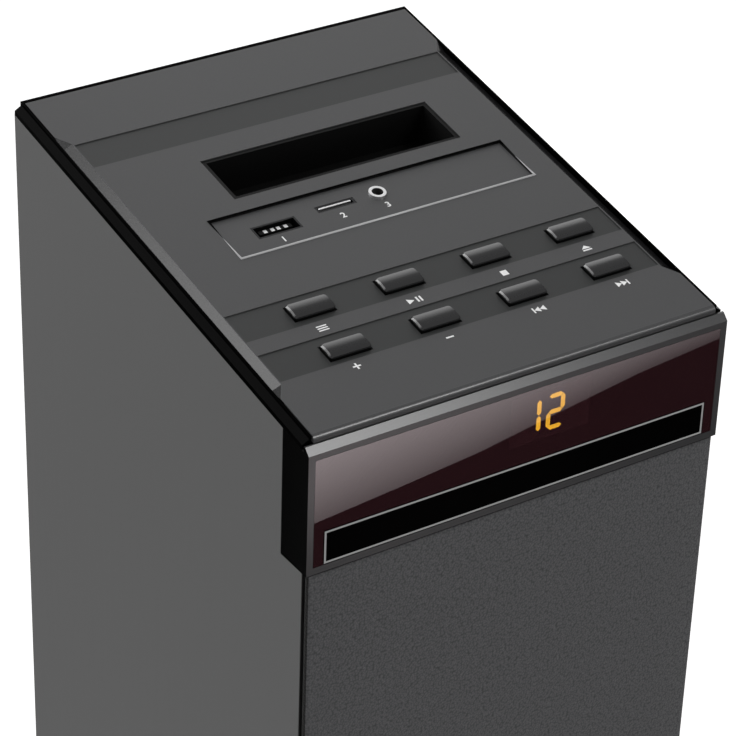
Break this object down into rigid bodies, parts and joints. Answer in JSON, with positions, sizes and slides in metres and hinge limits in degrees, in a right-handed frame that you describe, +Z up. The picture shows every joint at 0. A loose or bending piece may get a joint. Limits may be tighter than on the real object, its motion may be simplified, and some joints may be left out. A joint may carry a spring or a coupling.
{
  "type": "tower speaker with disc player",
  "caption": "Slim floor-standing tower speaker whose sloped head holds a front-loading disc tray, buttons, a phone slot and media sockets.",
  "frame": {"origin": "on the floor under the middle of the plinth", "axes": "+Z up, front (fascia and grille) towards -Y, X to the right seen from the front"},
  "size_m": [0.205, 0.228, 0.985],
  "materials": {
    "grey_board": "satin grey foil",
    "black_board": "matt black foil",
    "rubber": "matt",
    "steel": "plated",
    "grille_fabric": "knitted cloth",
    "black_plastic": "matt",
    "painted_steel": "matt",
    "surround_rubber": "matt",
    "cone_paper": "matt",
    "ferrite": "matt",
    "gloss_black": "gloss",
    "fascia_grey": "satin",
    "deck_grey": "fine grain",
    "button_grey": "satin",
    "smoked_window": "gloss",
    "circuit_board": "solder mask",
    "motor_steel": "plated",
    "belt_rubber": "matt",
    "white_acetal": "matt",
    "pickup_metal": "die cast"
  },
  "bodies": {
    "cabinet": {"amplifier_board": "circuit_board", "aux_jack": "steel", "back_panel": "black_board", "base_plinth": "black_board", "bottom_panel": "black_board", "card_socket": "steel", "clamp_bridge": "black_plastic", "control_board": "circuit_board", "display_module": "black_plastic", "display_window": "smoked_window", "divider_shelf": "black_board", "driver_magnets": "ferrite", "front_baffle": "black_board", "front_fascia": "fascia_grey", "grille_cloth": "grille_fabric", "grille_frame": "black_board", "key_switches": "black_plastic", "left_side_panel": "grey_board", "loader_chassis": "black_plastic", "loading_belt": "belt_rubber", "loading_motor": "motor_steel", "lower_basket": "painted_steel", "lower_suspension": "surround_rubber", "mains_inlet": "black_plastic", "mains_transformer": "motor_steel", "phone_slot_liner": "black_plastic", "port_tube": "black_plastic", "rear_plate": "black_plastic", "right_side_panel": "grey_board", "rubber_feet": "rubber", "socket_panel": "deck_grey", "top_deck": "deck_grey", "top_trim": "gloss_black", "upper_basket": "painted_steel", "upper_suspension": "surround_rubber", "usb_socket": "steel", "wiring_loom": "belt_rubber", "wood_screws": "steel"},
    "tray": {"disc_tray": "black_plastic", "tray_door": "gloss_black"},
    "drive_gear": {"drive_gear": "white_acetal"},
    "motor_pulley": {"motor_pulley": "white_acetal"},
    "traverse": {"traverse_frame": "black_plastic", "spindle_motor": "motor_steel", "sled_rods": "steel"},
    "turntable": {"turntable": "white_acetal"},
    "pickup": {"optical_pickup": "pickup_metal"},
    "sled_gear": {"sled_gear": "white_acetal"},
    "clamp": {"clamp_puck": "black_plastic"},
    "power_rocker": {"power_rocker": "black_plastic"},
    "upper_cone": {"upper_cone": "cone_paper"},
    "lower_cone": {"lower_cone": "cone_paper"},
    "mode_button": {"mode_button": "button_grey"},
    "play_button": {"play_button": "button_grey"},
    "stop_button": {"stop_button": "button_grey"},
    "open_close_button": {"open_close_button": "button_grey"},
    "volume_up_button": {"volume_up_button": "button_grey"},
    "volume_down_button": {"volume_down_button": "button_grey"},
    "previous_button": {"previous_button": "button_grey"},
    "next_button": {"next_button": "button_grey"}
  },
  "joints": [
    {"name": "tray_slide", "type": "slide", "parent": "cabinet", "child": "tray", "axis": [0, -1, 0], "range_m": [0, 0.12]},
    {"name": "drive_gear_spin", "type": "hinge", "parent": "cabinet", "child": "drive_gear", "pos_m": [-0.04345, -0.0608, 0.91839], "axis": [0, 0, 1], "range_deg": [0, 920]},
    {"name": "motor_pulley_spin", "type": "hinge", "parent": "cabinet", "child": "motor_pulley", "pos_m": [-0.01045, -0.0608, 0.91839], "axis": [0, 0, 1], "range_deg": [0, 2430]},
    {"name": "traverse_tilt", "type": "hinge", "parent": "cabinet", "child": "traverse", "pos_m": [0, 0.058, 0.91139], "axis": [1, 0, 0], "range_deg": [0, 7]},
    {"name": "turntable_spin", "type": "hinge", "parent": "traverse", "child": "turntable", "pos_m": [0, -0.0195, 0.92439], "axis": [0, 0, 1], "continuous": true},
    {"name": "clamp_spin", "type": "hinge", "parent": "cabinet", "child": "clamp", "pos_m": [0, -0.0195, 0.92739], "axis": [0, 0, 1], "continuous": true},
    {"name": "pickup_slide", "type": "slide", "parent": "traverse", "child": "pickup", "axis": [0, 1, 0], "range_m": [0, 0.034]},
    {"name": "sled_gear_spin", "type": "hinge", "parent": "traverse", "child": "sled_gear", "pos_m": [0.03305, 0.0235, 0.91489], "axis": [0, 0, 1], "range_deg": [-326, 0]},
    {"name": "power_rocker_tilt", "type": "hinge", "parent": "cabinet", "child": "power_rocker", "pos_m": [0.024, 0.0825, 0.13], "axis": [1, 0, 0], "range_deg": [-16, 0]},
    {"name": "upper_cone_stroke", "type": "slide", "parent": "cabinet", "child": "upper_cone", "axis": [0, -1, 0], "range_m": [-0.003, 0.003], "stiffness_N_per_m": 1500, "deforming": ["upper_suspension"]},
    {"name": "lower_cone_stroke", "type": "slide", "parent": "cabinet", "child": "lower_cone", "axis": [0, -1, 0], "range_m": [-0.003, 0.003], "stiffness_N_per_m": 1500, "deforming": ["lower_suspension"]},
    {"name": "mode_press", "type": "slide", "parent": "cabinet", "child": "mode_button", "axis": [0, 0.165, -0.9863], "range_m": [0, 0.0005], "stiffness_N_per_m": 1000, "springref_m": -0.0008},
    {"name": "play_press", "type": "slide", "parent": "cabinet", "child": "play_button", "axis": [0, 0.165, -0.9863], "range_m": [0, 0.0005], "stiffness_N_per_m": 1000, "springref_m": -0.0008},
    {"name": "stop_press", "type": "slide", "parent": "cabinet", "child": "stop_button", "axis": [0, 0.165, -0.9863], "range_m": [0, 0.0005], "stiffness_N_per_m": 1000, "springref_m": -0.0008},
    {"name": "open_close_press", "type": "slide", "parent": "cabinet", "child": "open_close_button", "axis": [0, 0.165, -0.9863], "range_m": [0, 0.0005], "stiffness_N_per_m": 1000, "springref_m": -0.0008},
    {"name": "volume_up_press", "type": "slide", "parent": "cabinet", "child": "volume_up_button", "axis": [0, 0.165, -0.9863], "range_m": [0, 0.0005], "stiffness_N_per_m": 1000, "springref_m": -0.0008},
    {"name": "volume_down_press", "type": "slide", "parent": "cabinet", "child": "volume_down_button", "axis": [0, 0.165, -0.9863], "range_m": [0, 0.0005], "stiffness_N_per_m": 1000, "springref_m": -0.0008},
    {"name": "previous_press", "type": "slide", "parent": "cabinet", "child": "previous_button", "axis": [0, 0.165, -0.9863], "range_m": [0, 0.0005], "stiffness_N_per_m": 1000, "springref_m": -0.0008},
    {"name": "next_press", "type": "slide", "parent": "cabinet", "child": "next_button", "axis": [0, 0.165, -0.9863], "range_m": [0, 0.0005], "stiffness_N_per_m": 1000, "springref_m": -0.0008}
  ],
  "couplings": [
    {"joint": "drive_gear_spin", "follows": "tray_slide", "rad_per_m": 133.33},
    {"joint": "motor_pulley_spin", "follows": "tray_slide", "rad_per_m": 352.24},
    {"joint": "sled_gear_spin", "follows": "pickup_slide", "rad_per_m": -166.67},
    {"joint": "clamp_spin", "follows": "turntable_spin", "ratio": 1}
  ]
}
